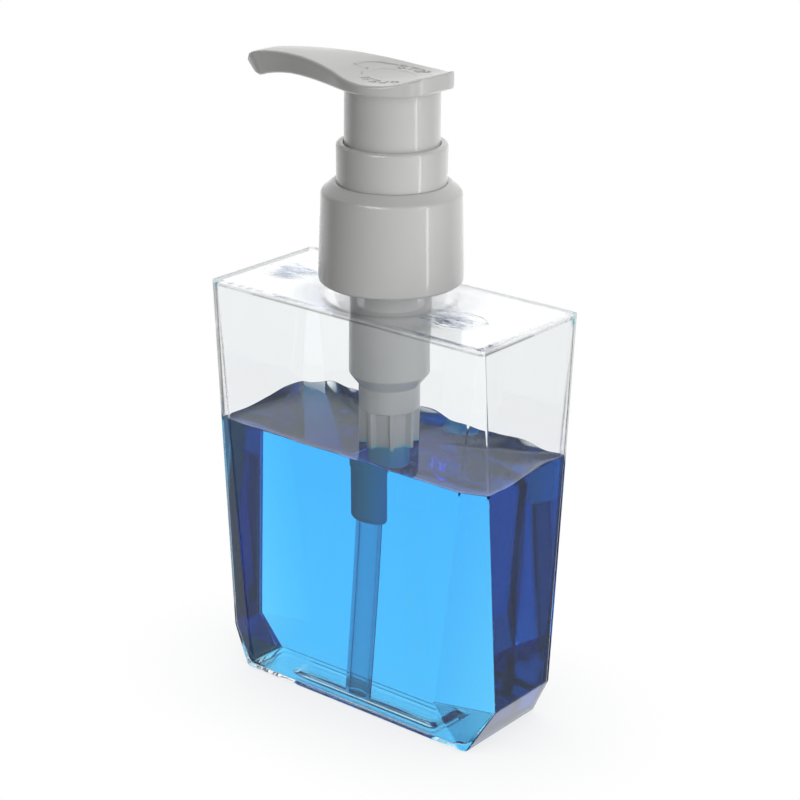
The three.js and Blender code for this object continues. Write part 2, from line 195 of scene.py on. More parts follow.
def coordinates(s):
    """The piece's own coordinates in metres, each as a value."""
    parts = s.node("SeparateXYZ")
    s.link(s.place(), parts.inputs[0])
    return parts.outputs


def patch(s, centre, half_size):
    """1 inside an ellipsoid, given in metres, falling softly to 0 at its edge."""
    moved = s.vector("SUBTRACT", s.place(), centre)[0]
    scaled = s.vector("DIVIDE", moved, half_size)[0]
    return ranged(s, s.vector("LENGTH", scaled)["Value"], 0.55, 1.0, 1.0, 0.0)


def near_plane(s, coordinate, height, at_base, growth, reach):
    """1 within reach of a side that stands at at_base and leans out with height by growth."""
    side = s.maths("MULTIPLY_ADD", height, growth, at_base)
    away = s.maths("SUBTRACT", side, s.maths("ABSOLUTE", coordinate))
    return ranged(s, away, reach, reach * 1.4, 1.0, 0.0)


# Sides of the bottle in metres: where they stand at the base, and how far they lean out.
NARROW_SIDE = (0.0385, 0.01)
WIDE_SIDE = (0.0137, 0.039)
EDGE_REACH_X, EDGE_REACH_Y = 0.0017, 0.0011
NECK_FILLET = ((0, 0, 0.1), (0.0235, 0.0235, 0.008))


def clear_edges(s):
    """1 along the edges of the empty upper part and in the fillet of the neck."""
    x, y, z = coordinates(s)
    by_x = near_plane(s, x, z, *NARROW_SIDE, EDGE_REACH_X)
    by_y = near_plane(s, y, z, *WIDE_SIDE, EDGE_REACH_Y)
    by_top = ranged(s, z, 0.0986, 0.099, 0.0, 1.0)
    # Of the four upright corners, only the two narrow ones, which lie where x and y agree.
    narrow = ranged(s, product(s, x, y), 0.0, 0.0001, 0.0, 1.0)
    upright = product(s, product(s, by_x, by_y), narrow)
    edges = larger(s, upright, larger(s, product(s, by_x, by_top), product(s, by_y, by_top)))
    above_soap = ranged(s, z, 0.064, 0.067, 0.0, 1.0)
    return larger(s, product(s, edges, above_soap), product(s, patch(s, *NECK_FILLET), by_top))


# Folds of the blown plastic under the shoulder, where dark smears are painted in as shade, and its
# corners, where teal is painted in for the blue soap seen through them: centre and half size.
FOLD_RIGHT = ((0.0215, -0.0045, 0.0995), (0.0085, 0.0062, 0.006))
FOLD_LEFT = ((-0.0295, 0.0012, 0.0995), (0.0075, 0.0085, 0.006))
# Painted light: teal colour in the shoulder's corners, standing in for the blue soap seen
# refracted through them.
PAINTED_TEAL_LEFT = ((-0.0395, -0.0176, 0.0998), (0.0022, 0.003, 0.0035))
PAINTED_TEAL_RIGHT = ((0.0395, 0.0176, 0.0998), (0.0022, 0.003, 0.0045))
PAINTED_TEAL_TINT = (0.16, 0.62, 0.76)
PET_CLEAR = (0.972, 0.99, 1.0)
# Painted shade: the dark colour of the smears in the folds, standing in for the dark that the
# folds refract.
PET_PAINTED_SHADE = (0.32, 0.38, 0.5)
EDGE_FAINTNESS = 0.68  # how much of the edges is left out, so that they stay light


def clear_pet():
    s = Shader("clear_pet")
    waves = bumped(s, object_noise(s, 60, 1.0, 0.4, (1, 1, 0.35)), 0.0006, 0.05)
    swirl = object_noise(s, 200, 3.0, 0.6, (0.45, 1.3, 1))
    folded = larger(s, patch(s, *FOLD_RIGHT), patch(s, *FOLD_LEFT))
    swirls = bumped(s, product(s, swirl, folded), 0.0016, 0.8, waves)
    haze = ranged(s, object_noise(s, 2200, 2.0), 0.78, 0.84, 0.0, 0.25)
    # Painted shade: dark smears laid into the colour where the folds are.
    painted_fold_shade = product(s, ranged(s, swirl, 0.4, 0.58, 0.0, 1.0), folded)
    shade = tinted(s, painted_fold_shade, PET_CLEAR, PET_PAINTED_SHADE)
    # Painted teal in the corners, standing in for the refracted blue soap.
    painted_teal = larger(s, patch(s, *PAINTED_TEAL_LEFT), patch(s, *PAINTED_TEAL_RIGHT))
    corner = s.node("Mix", data_type="RGBA")
    s.link(painted_teal, corner.inputs[0])
    s.link(shade, corner.inputs[6])
    corner.inputs[7].default_value = (*PAINTED_TEAL_TINT, 1)
    shader = s.principled(
        corner.outputs[2], haze, swirls,
        IOR=1.57, Transmission_Weight=1.0, Specular_Tint=(0.85, 0.95, 1.0, 1),
    )
    open_air = s.node("BsdfTransparent", Color=(0.985, 0.99, 0.99, 1))
    mixed = s.node("MixShader")
    s.link(product(s, clear_edges(s), EDGE_FAINTNESS), mixed.inputs[0])
    s.link(shader.outputs[0], mixed.inputs[1])
    s.link(open_air.outputs[0], mixed.inputs[2])
    s.link(mixed.outputs[0], s.out.inputs["Surface"])
    return s.material


def blue_soap():
    s = Shader("blue_soap")
    s.principled(
        normal=bumped(s, object_noise(s, 45, 1.0), 0.0004, 0.04),
        Base_Color=(1, 1, 1, 1), Roughness=0.0, IOR=1.5, Transmission_Weight=1.0,
        Specular_Tint=(0.62, 0.95, 1.15, 1),
    )
    s.absorbing((0.0, 0.772, 0.9944), 97.0)
    return s.material


WET_FROM, DRY_FROM = 0.0645, 0.0655  # heights round the surface of the soap, in metres
# Painted light: the pieces below the soap's surface are tinted cyan, standing in for the blue
# light that reaches them through the soap.
PAINTED_SOAP_BLUE = (0.35, 0.85, 1.0)


def white_pp():
    s = Shader("white_pp")
    cloud = object_noise(s, 70, 3.0)
    grain = object_noise(s, 900, 2.0)
    height = coordinates(s)["Z"]
    clear_of_painted_blue = ranged(s, height, WET_FROM, DRY_FROM, 0.0, 1.0)
    # Painted blue cast below the soap's surface, over the plastic's own tone above it.
    colour = s.node("Mix", data_type="RGBA")
    s.link(clear_of_painted_blue, colour.inputs[0])
    colour.inputs[6].default_value = (*PAINTED_SOAP_BLUE, 1)
    s.link(tinted(s, cloud, (0.77, 0.765, 0.75), (0.83, 0.83, 0.82)), colour.inputs[7])
    soft = bumped(s, object_noise(s, 130, 2.0, 0.5, (1, 1, 0.4)), 0.0003, 0.08)
    shader = s.principled(
        colour.outputs[2], ranged(s, cloud, 0.3, 0.7, 0.3, 0.42),
        bumped(s, grain, 0.00002, 0.15, soft), IOR=1.4, Coat_Roughness=0.035, Coat_IOR=1.45,
    )
    for socket in ("Coat Weight", "Specular IOR Level"):  # no sheen where the soap wets it
        s.link(ranged(s, height, WET_FROM, DRY_FROM, 0.03, 0.5), shader.inputs[socket])
    return s.material


def natural_pe():
    s = Shader("natural_pe")
    cloud = object_noise(s, 90, 2.0, 0.5, (1, 1, 0.15))
    s.principled(
        tinted(s, cloud, (0.8, 0.93, 0.97), (0.88, 0.97, 0.99)),
        ranged(s, cloud, 0.3, 0.7, 0.03, 0.12), IOR=1.06, Transmission_Weight=0.96,
    )
    s.absorbing((0.0, 0.3, 0.5), 210.0)
    return s.material


def grey_foam():
    s = Shader("grey_foam")
    cells = s.node("TexVoronoi", Scale=1800)
    depth = cells.outputs["Distance"]
    # The pores are painted darker with the same value that dents them: painted shade in their
    # hollows.
    s.principled(
        tinted(s, depth, (0.55, 0.55, 0.54), (0.8, 0.8, 0.78)),
        normal=bumped(s, depth, 0.0001, 0.5), Roughness=0.85,
    )
    return s.material


def drawn_steel():
    s = Shader("drawn_steel")
    lines = object_noise(s, 2500, 2.0)
    s.principled(
        tinted(s, lines, (0.5, 0.5, 0.5), (0.66, 0.65, 0.63)),
        ranged(s, lines, 0.3, 0.7, 0.2, 0.38), Metallic=1.0,
    )
    return s.material


def ball_glass():
    s = Shader("ball_glass")
    specks = object_noise(s, 1500, 2.0)
    s.principled(
        tinted(s, specks, (0.8, 0.88, 0.86), (0.95, 0.98, 0.97)),
        ranged(s, specks, 0.4, 0.7, 0.02, 0.15), IOR=1.5, Transmission_Weight=0.9,
    )
    return s.material


def soft_pe():
    s = Shader("soft_pe")
    cloud = object_noise(s, 300, 2.0)
    s.principled(
        tinted(s, cloud, (0.72, 0.73, 0.73), (0.82, 0.83, 0.83)),
        ranged(s, cloud, 0.3, 0.7, 0.35, 0.5), IOR=1.5,
    )
    return s.material


PET = clear_pet()
SOAP = blue_soap()
PP = white_pp()
PE = natural_pe()

# ---- Mesh helpers ----


def add_object(name, mesh, material):
    mesh.materials.append(material)
    made = bpy.data.objects.new(name, mesh)
    bpy.context.scene.collection.objects.link(made)
    return made


def smooth_mesh(name, points, faces):
    mesh = bpy.data.meshes.new(name)
    mesh.from_pydata(points, [], faces)
    mesh.shade_smooth()
    mesh.validate()
    return mesh


def mesh_from_rings(name, rings, close_first=True, close_last=True):
    """Skin through rings of equal length, each end left open or closed by a fan."""
    count = len(rings[0])
    points = list(map(tuple, np.concatenate(rings) * MM))
    faces = []
    for a in range(0, (len(rings) - 1) * count, count):
        b = a + count
        for j in range(count):
            k = (j + 1) % count
            faces.append((a + j, a + k, b + k, b + j))
    if close_first:
        c = len(points)
        points.append(tuple(np.mean(rings[0], axis=0) * MM))
        faces += [(c, (j + 1) % count, j) for j in range(count)]
    if close_last:
        c = len(points)
        points.append(tuple(np.mean(rings[-1], axis=0) * MM))
        last = (len(rings) - 1) * count
        faces += [(c, last + j, last + (j + 1) % count) for j in range(count)]
    return smooth_mesh(name, points, faces)


def flatter(made):
    """Normals that keep the large flat faces flat and let the small edge rounds turn."""
    modifier = made.modifiers.new("normals", "WEIGHTED_NORMAL")
    modifier.mode = "FACE_AREA"
    modifier.weight = 80
    modifier.keep_sharp = True


def combine(made, other, operation):
    """Joins another closed piece to this one, or cuts it out, and drops the other."""
    modifier = made.modifiers.new("combine", "BOOLEAN")
    modifier.operation = operation
    modifier.solver = "MANIFOLD"
    modifier.object = other
    apply_modifiers(made)
    bpy.data.objects.remove(other)


def union(made, other):
    combine(made, other, "UNION")


def cut(made, other):
    combine(made, other, "DIFFERENCE")


def apply_modifiers(made):
    bpy.context.view_layer.update()
    graph = bpy.context.evaluated_depsgraph_get()
    final = bpy.data.meshes.new_from_object(made.evaluated_get(graph))
    old = made.data
    made.modifiers.clear()
    made.data = final
    final.name = made.name
    bpy.data.meshes.remove(old)


def bend(start, corner, end, s):
    """Curve from start to end that heads for the corner, at the share s of its way."""
    return (1 - s) ** 2 * start + 2 * s * (1 - s) * corner + s * s * end


STRAIGHT = 0.9  # cosine of a turn too slight to be a corner


def softened(profile, radius, steps=3):
    """Closed outline of [r, z] points with its sharp corners rounded off."""
    made = []
    count = len(profile)
    for i in range(count):
        a, p, b = (np.array(profile[j % count], float) for j in (i - 1, i, i + 1))
        to_a, to_b = a - p, b - p
        len_a, len_b = np.linalg.norm(to_a), np.linalg.norm(to_b)
        if -(to_a @ to_b) / (len_a * len_b) > STRAIGHT:
            made.append(tuple(p))
            continue
        reach = min(radius, 0.45 * len_a, 0.45 * len_b)
        start, end = p + to_a / len_a * reach, p + to_b / len_b * reach
        made += [tuple(bend(start, p, end, s)) for s in np.linspace(0, 1, steps + 1)]
    return made


def arc(cx, cz, radius, start, end, steps):
    """Points of an outline on an arc between two angles in degrees."""
    return [
        (cx + radius * math.cos(t), cz + radius * math.sin(t))
        for t in np.radians(np.linspace(start, end, steps + 1))
    ]


def turned(name, profile, segments):
    """Piece turned round the Z axis from a closed outline of [r, z] points."""
    points, faces = [], []
    count = len(profile)
    for i in range(segments):
        t, k = 2 * math.pi * i / segments, (i + 1) % segments
        points += [(r * math.cos(t) * MM, r * math.sin(t) * MM, z * MM) for r, z in profile]
        for j in range(count):
            m = (j + 1) % count
            faces.append((i * count + j, k * count + j, k * count + m, i * count + m))
    mesh = smooth_mesh(name, points, faces)
    face_out(mesh)
    made = add_object(name, mesh, PP)
    flatter(made)
    return made


def face_out(mesh):
    """Turns the faces of a closed mesh outwards."""
    made = bmesh.new()
    made.from_mesh(mesh)
    bmesh.ops.recalc_face_normals(made, faces=made.faces)
    if made.calc_volume(signed=True) < 0:
        bmesh.ops.reverse_faces(made, faces=made.faces)
    made.to_mesh(mesh)
    made.free()


THREAD_PITCH = 4.233  # six threads to the inch
STEPS_PER_TURN = 96


def wound_ridge(name, root, crest, start_z, turns):
    """Right-handed thread ridge that fades out at both ends; a negative crest points inwards."""
    half = [(0, 1.1), (crest * 0.6, 0.75), (crest, 0.45)]
    section = [(r, -dz) for r, dz in half] + half[::-1]
    steps = int(turns * STEPS_PER_TURN)
    rings = []
    for i in range(steps + 1):
        share = i / steps
        angle = share * turns * 2 * math.pi
        z = start_z + share * turns * THREAD_PITCH
        size = min(1, 0.25 + 12 * min(share, 1 - share))
        c, s = math.cos(angle), math.sin(angle)
        ring = [((root + r * size) * c, (root + r * size) * s, z + dz * size) for r, dz in section]
        rings.append(np.array(ring))
    mesh = mesh_from_rings(name, rings)
    face_out(mesh)
    return add_object(name, mesh, PP)


BLOCK_EDGE = 0.18  # rounding of a bar's edges, as a share of its thickness


def block(name, low, high, angle=0.0):
    """Bar with softened edges between two corners, in millimetres, turned about the Z axis."""
    made = bmesh.new()
    bmesh.ops.create_cube(made, size=1)
    low, high = Vector(low), Vector(high)
    size, centre = high - low, (high + low) / 2
    for v in made.verts:
        v.co = Vector(v.co[i] * size[i] + centre[i] for i in range(3)) * MM
    bmesh.ops.bevel(
        made, geom=made.edges, offset=min(size) * BLOCK_EDGE * MM,
        segments=3, profile=0.5, affect="EDGES",
    )
    turn = Matrix.Rotation(math.radians(angle), 3, "Z")
    bmesh.ops.rotate(made, verts=made.verts, matrix=turn)
    mesh = bpy.data.meshes.new(name)
    made.to_mesh(mesh)
    made.free()
    mesh.shade_smooth()
    return add_object(name, mesh, PP)


# ---- Bottle and soap ----

SHOULDER_Z = 100.0
TOP_HALF = (39.5, 17.6)  # half length and half width at the shoulder
BASE_HALF = (34.0, 13.7)  # and at the base, between the slanting facets
FACET_Z = 9.6  # upper edge of the facets on the narrow sides
FACET_X = 38.6
NECK_OUTER, NECK_BORE = 12.6, 11.1  # radii
NECK_TOP_Z = 118.8
NECK_RIM = 0.5  # rounding of the rim outside
RIM_INSIDE = 0.4
NECK_FLARE = 4.0  # radius of the fillet between the neck and the shoulder
CEILING = 0.7  # thickness of the shoulder plate
FLARE_INSIDE = 4.3
WALL = 0.6  # drawn wall
FLOOR_Z = 1.0
BEVEL_INSET = 1.4  # the floor stops this far inside the base at both ends
PAD_HALF = (22.0, 5.8)  # the base is pushed up over this much
PAD_RISE = 1.2
PAD_MIDDLE = (8, 3)  # the push-up is highest over this much
PAD_CROWN = 0.1
PAD_CORNER = 2
LIQUID_Z = 64.7


def face_half_y(z):
    """Half width of the bottle between its flat wide sides at a height."""
    return BASE_HALF[1] + (TOP_HALF[1] - BASE_HALF[1]) * z / SHOULDER_Z


def both_halves(half):
    """Ring of corners, from those of one half and the same turned half round."""
    return np.array(half + [(-x, -y, z) for x, y, z in half], float)


def cut_rectangle(half_x, half_y, z):
    """Rectangle whose corners are cut off, two of them more than the others."""
    return both_halves(
        [
            (half_x - 1.3, -half_y, z),
            (half_x, -half_y + 0.55, z),
            (half_x, half_y - 0.26, z),
            (half_x - 1.2, half_y, z),
        ]
    )


def facet_ring():
    """Upper edge of the facets round the base."""
    return both_halves(
        [
            (25, -face_half_y(10.2), 10.2),
            (FACET_X, -8.4, FACET_Z),
            (FACET_X, 12.7, FACET_Z),
            (32.7, face_half_y(8), 8),
        ]
    )


def outline_at(z):
    """Corners of the bottle's outline at a height between the facets and the shoulder."""
    low, high = facet_ring(), cut_rectangle(*TOP_HALF, SHOULDER_Z)
    t = (z - low[:, 2]) / (SHOULDER_Z - low[:, 2])
    made = low + (high - low) * t[:, None]
    made[:, 2] = z
    return made


def inset(corners, by_x, by_y):
    """Corners drawn in by a length along X and a length along Y."""
    made = corners.copy()
    made[:, 0] *= 1 - by_x / corners[:, 0].max()
    made[:, 1] *= 1 - by_y / corners[:, 1].max()
    return made


# Spans along each of the eight sides of an outline, starting at the front right corner cut.
SPANS = (3, 30, 3, 64, 3, 30, 3, 64)
CORNER_STEPS = 5


def rounded(corners, radius):
    """Dense ring through eight corners, each rounded off over a length."""
    count = len(corners)
    arcs = []
    for i in range(count):
        p, a, b = corners[i], corners[i - 1], corners[(i + 1) % count]
        to_a, to_b = a - p, b - p
        len_a, len_b = np.linalg.norm(to_a), np.linalg.norm(to_b)
        start = p + to_a / len_a * min(radius, 0.45 * len_a)
        end = p + to_b / len_b * min(radius, 0.45 * len_b)
        arcs.append(bend(start, p, end, np.linspace(0, 1, CORNER_STEPS + 1)[:, None]))
    ring = []
    for i in range(count):
        ring.append(arcs[i])
        start, end = arcs[i][-1], arcs[(i + 1) % count][0]
        s = np.linspace(0, 1, SPANS[i] + 1)[1:-1, None]
        ring.append(start + (end - start) * s)
    return np.concatenate(ring)


def circle_like(ring, radius, z):
    """Circle whose points lie at the same bearings as the ring's points."""
    bearing = np.unwrap(np.arctan2(ring[:, 1], ring[:, 0]))
    level = np.full(len(ring), z)
    return np.stack([radius * np.cos(bearing), radius * np.sin(bearing), level], 1)


def eased(rings, lengths, steps=4):
    """Profile of rings, each inner one rounded off over its length, or kept where that is 0."""
    made = [rings[0]]
    for i in range(1, len(rings) - 1):
        p, a, b = rings[i], rings[i - 1], rings[i + 1]
        if lengths[i] == 0:
            made.append(p)
            continue
        to_a, to_b = a - p, b - p
        len_a = np.linalg.norm(to_a, axis=1)[:, None]
        len_b = np.linalg.norm(to_b, axis=1)[:, None]
        start = p + to_a / len_a * np.minimum(lengths[i], 0.45 * len_a)
        end = p + to_b / len_b * np.minimum(lengths[i], 0.45 * len_b)
        made += [bend(start, p, end, s) for s in np.linspace(0, 1, steps + 1)]
    made.append(rings[-1])
    return made


def between(a, b, count):
    """Rings strictly between two rings."""
    return [a + (b - a) * s for s in np.linspace(0, 1, count + 1)[1:-1]]


def is_tall(a, b):
    """Whether the stretch between two rings is one of the long walls."""
    return abs(float(np.mean(b[:, 2] - a[:, 2]))) > 20


def fillet(centre_r, centre_z, radius, start, end, steps, like):
    """Circles whose outline is an arc between two angles in degrees."""
    return [
        circle_like(like, r, z) for r, z in arc(centre_r, centre_z, radius, start, end, steps)
    ]


def cavity_corners(skin=0.0):
    """Outlines of the inner space at its floor and facets; a skin below 0 makes it larger."""
    wall = WALL + skin
    base = cut_rectangle(*BASE_HALF, 0)
    waist = facet_ring()
    low = base + (waist - base) * ((FLOOR_Z + skin) / waist[:, 2])[:, None]
    low[:, 2] = FLOOR_Z + skin
    return [inset(low, BEVEL_INSET + skin, wall), inset(waist, wall, wall)]


def pad_ring(grow, z):
    return rounded(cut_rectangle(PAD_HALF[0] + grow, PAD_HALF[1] + grow, z), PAD_CORNER)


def pad_middle(z):
    return rounded(cut_rectangle(*PAD_MIDDLE, z + PAD_CROWN), PAD_CORNER)


def floor_pad(skin=0.0):
    """The push-up seen from inside: its foot, its upper edge and its middle."""
    low, high = FLOOR_Z + skin, FLOOR_Z + PAD_RISE + skin
    return [pad_ring(0.5, low), pad_ring(-0.9, high), pad_middle(high)]


RIPPLE = 0.1  # most that the inner wall wanders
RIPPLE_SCALE = 0.045


def ripple(ring):
    """Slow uneven thickness of a blown wall, towards the axis or away from it."""
    made = ring.copy()
    for i, p in enumerate(ring):
        n = noise.noise(Vector(p) * RIPPLE_SCALE) * RIPPLE
        away = np.array([p[0] * 0.3, p[1], 0])
        away /= max(np.linalg.norm(away), 1e-6)
        made[i] = p + away * n
    return made


# Swirls folded into the underside of the shoulder: centre, half length, half width, depth.
SWIRLS = (((21.5, -4.5), 8.0, 5.5, 0.5), ((-28.5, -0.8), 3.5, 6.0, 0.35))


def swirled(ring):
    """The underside of the shoulder with its swirls hanging below it."""
    made = ring.copy()
    for i, (x, y, z) in enumerate(ring):
        if z < SHOULDER_Z - 1.2:
            continue
        for (cx, cy), long, wide, depth in SWIRLS:
            away = math.hypot((x - cx) / long, (y - cy) / wide)
            if away < 1:
                wave = noise.noise(Vector((x * 0.35, y * 0.9, 3.0)))
                made[i, 2] -= depth * (1 - away * away) ** 2 * (0.5 + wave * 1.6)
    return made


def outer_rings(shoulder):
    """Outside of the bottle, from the middle of its base to the rim of its neck."""
    base = rounded(cut_rectangle(*BASE_HALF, 0), 0.6)
    waist = rounded(facet_ring(), 0.3)
    flare_r = NECK_OUTER + NECK_FLARE
    plate = circle_like(shoulder, flare_r, SHOULDER_Z)
    rings = eased(
        [
            pad_middle(PAD_RISE), pad_ring(-1.4, PAD_RISE), pad_ring(0, 0),
            base, waist, shoulder, plate,
        ],
        [0, 0.4, 0.4, 0.5, 0.4, 0.2, 0],
    )[:-1]
    rings += between(rings[-1], plate, 24)
    rings += fillet(flare_r, SHOULDER_Z + NECK_FLARE, NECK_FLARE, -90, -180, 12, shoulder)
    rings += [circle_like(shoulder, NECK_OUTER, z) for z in (108, 113, 118.2)]
    rim = NECK_OUTER - NECK_RIM, NECK_TOP_Z - NECK_RIM
    return rings + fillet(*rim, NECK_RIM, 0, 90, 3, shoulder)


def inner_rings(shoulder):
    """Inside of the bottle, from the rim of its neck to the middle of its floor."""
    rim = NECK_BORE + RIM_INSIDE, NECK_TOP_Z - RIM_INSIDE
    ceiling_z = SHOULDER_Z - CEILING
    neck = fillet(*rim, RIM_INSIDE, 90, 180, 3, shoulder)
    neck += [circle_like(shoulder, NECK_BORE, z) for z in (113, 108)]
    flare = NECK_BORE + FLARE_INSIDE, ceiling_z + FLARE_INSIDE
    neck += fillet(*flare, FLARE_INSIDE, -180, -90, 12, shoulder)
    ceiling = rounded(inset(outline_at(ceiling_z), WALL, WALL), 0.2)
    low = cavity_corners()
    walls = [neck[-1], ceiling, rounded(low[1], 0.3), rounded(low[0], 0.9)] + floor_pad()
    smooth = eased(walls, [0, 0.2, 0.5, 0.9, 0.35, 0.35, 0])
    down = []
    for previous, ring in zip(smooth, smooth[1:]):
        if not down:
            down += between(previous, ring, 40)
        elif is_tall(previous, ring):
            down += between(previous, ring, 36)
        down.append(ring)
    return neck + [swirled(ripple(ring)) for ring in down]


def make_bottle():
    shoulder = rounded(cut_rectangle(*TOP_HALF, SHOULDER_Z), 0.2)
    rings = outer_rings(shoulder) + inner_rings(shoulder)
    made = add_object("bottle_body", mesh_from_rings("bottle_body", rings), PET)
    union(made, wound_ridge("neck_thread", root=12.3, crest=1.45, start_z=108, turns=1.5))
    flatter(made)
    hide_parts("bottle")
    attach(made, "bottle")


SOAP_OVERLAP = 0.06  # the soap reaches this far into the wall
# How far in from the wall each ring of the soap's surface lies, as a share of the way to the axis.
SURFACE_SHARES = (
    0.004, 0.01, 0.018, 0.028, 0.04, 0.055, 0.075, 0.1, 0.14, 0.2, 0.3, 0.45, 0.6, 0.75, 0.9, 1,
)


def distance_inside(points, corners):
    """How far inside an outline of corners each point lies, seen from above."""
    nearest = np.full(len(points), 1e9)
    for a, b in zip(corners[:, :2], np.roll(corners[:, :2], -1, axis=0)):
        along = (b - a) / np.linalg.norm(b - a)
        out = np.array([along[1], -along[0]])
        nearest = np.minimum(nearest, -(points[:, :2] - a) @ out)
    return nearest


def make_soap():
    """The soap, whose surface climbs the walls, most of all in waves at the back."""
    low = cavity_corners(-SOAP_OVERLAP)
    reach = WALL - SOAP_OVERLAP
    top = rounded(inset(outline_at(LIQUID_Z + 1.2), reach, reach), 0.3)
    walls = floor_pad(-SOAP_OVERLAP)[::-1] + [rounded(low[0], 0.9), rounded(low[1], 0.3), top]
    smooth = eased(walls, [0, 0.35, 0.35, 0.9, 0.5, 0])
    rings = smooth[:1]
    for previous, ring in zip(smooth, smooth[1:]):
        if is_tall(previous, ring):
            rings += between(previous, ring, 26)
        rings.append(ring)
    rings = [ripple(ring) for ring in rings]
    edge = rings[-1]
    centre = circle_like(edge, 1.0, LIQUID_Z)
    # It stands highest at the back left, where it clung after the bottle was last tilted.
    back = np.clip(edge[:, 1] / 12, -0.6, 1)
    clung = np.maximum(back, 0) * np.exp(-(((edge[:, 0] + 14) / 13) ** 2))
    wave = np.array([noise.noise(Vector((x * 0.16, y * 0.1, 0))) for x, y, _ in edge])
    rise = 1.1 + 0.8 * back + 1.3 * clung + 1.3 * wave * np.maximum(back, 0.2)
    spread = 1.2 + 1.6 * np.maximum(back, 0)
    limit = inset(outline_at(LIQUID_Z), WALL, WALL)
    for share in SURFACE_SHARES:
        ring = edge + (centre - edge) * share
        nearest = np.maximum(distance_inside(ring, limit), -SOAP_OVERLAP)
        ring[:, 2] = LIQUID_Z + rise * np.exp(-(nearest + SOAP_OVERLAP) / spread)
        rings.append(ring)
    edge[:, 2] = LIQUID_Z + rise + 0.05
    made = add_object("soap", mesh_from_rings("soap", rings), SOAP)
    flatter(made)
    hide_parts("liquid_soap")
    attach(made, "bottle")


make_bottle()
make_soap()

# ---- Closure, lock sleeve, housing, dip tube and spring ----

FINE = 192  # segments of the large round pieces

# Outlines as radius and height.
COLLAR = (
    (14.1, 104.4), (14.6, 103.9), (16, 103.9), (16.5, 104.4), (16.5, 107), (16.15, 118),
    (15.93, 124.75), (13.3, 126.93), (12.3, 126.93), (12.3, 124.2), (12.5, 124),
    (13.9, 124), (14.1, 123.8),
)
SLEEVE_FLANGE = (
    (3.8, 113.5), (5.2, 113.5), (5.2, 122.2), (6.9, 122.2), (6.9, 118), (7.7, 118),
    (7.7, 122.2), (13.6, 122.2), (13.6, 123.7), (12, 123.7), (12, 127), (12.55, 127),
)
SLEEVE_INSIDE = (
    (11.05, 123.4), (6.6, 123.4), (6.6, 135.6), (5.5, 135.6), (5.5, 123.4), (3.8, 123.4),
)
HOUSING = (
    (3.95, 47.4), (4.2, 47.2), (4.5, 47.2), (5, 47.8), (5, 60), (5.3, 60), (5.3, 73.3),
    (7, 73.3), (7, 79), (7.25, 79.4), (9.3, 82), (9.3, 120.6), (13.6, 120.6), (13.6, 121.9),
    (8, 121.9), (8, 83.4), (5.6, 80.5), (5.6, 74.7), (1.9, 74.7), (1.9, 72.3), (2.9, 72.3),
    (2.9, 66.8), (1.4, 65.3), (1.4, 60.2), (3.95, 60.2),
)
STOP_ANGLES = (-12, 72)  # the ribs in the sleeve that end the head's turn


def make_collar():
    made = turned("collar_shell", softened(COLLAR, 0.7, 8), FINE)
    union(made, wound_ridge("collar_thread", root=14.25, crest=-1.25, start_z=105.88, turns=1.25))
    flatter(made)
    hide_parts("closure_collar")
    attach(made, "closure")


def make_sleeve():
    profile = softened(SLEEVE_FLANGE, 0.2)[:-1]
    profile += arc(11.65, 134.95, 0.9, 0, 90, 8)  # the rounded rim, outside and inside
    profile += arc(11.2, 135.5, 0.35, 90, 180, 4)
    profile += [(10.85, 133.5), (11.05, 132.8)]  # the lip that the head's skirt runs in
    profile += softened(SLEEVE_INSIDE, 0.2)
    made = turned("sleeve_shell", profile, FINE)
    for angle in STOP_ANGLES:
        union(made, block("stop", (6.3, -0.6, 123.2), (8.8, 0.6, 135.6), angle))
    flatter(made)
    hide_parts("lock_sleeve")
    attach(made, "pump_body")


FIN_COUNT = 8
VENT_R, VENT_Z = 0.6, 116


def rod_outline(radius, low, high):
    """Outline of a solid rod, which stops just short of its axis."""
    return [(0.001, low), (radius, low), (radius, high), (0.001, high)]


def make_housing():
    made = turned("housing_tube", softened(HOUSING, 0.28), 128)
    for i in range(FIN_COUNT):
        union(made, block("fin", (4.9, -0.5, 64), (7, 0.5, 73.5), 360 * i / FIN_COUNT))
    vent = turned("vent", rod_outline(VENT_R, 0, 4), 24)
    sideways = Matrix.Rotation(math.radians(90), 4, "Y")
    vent.data.transform(Matrix.Translation((6.5 * MM, 0, VENT_Z * MM)) @ sideways)
    cut(made, vent)
    flatter(made)
    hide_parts("pump_housing")
    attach(made, "pump_body")


TUBE_FOOT_Z = 2.7
TUBE_TOP_Z = 58.2  # in its socket, and under the soap even with the pump lifted
SOCKET_Z = 47.2
TUBE_LEAN = 8.6  # how far the foot leans towards the front wall
TUBE_R, TUBE_BORE = 3.65, 2.5


def lean(z):
    """How far the tube's middle has moved along Y at a height."""
    return -TUBE_LEAN * max(0.0, (SOCKET_Z - z) / (SOCKET_Z - TUBE_FOOT_Z)) ** 1.2


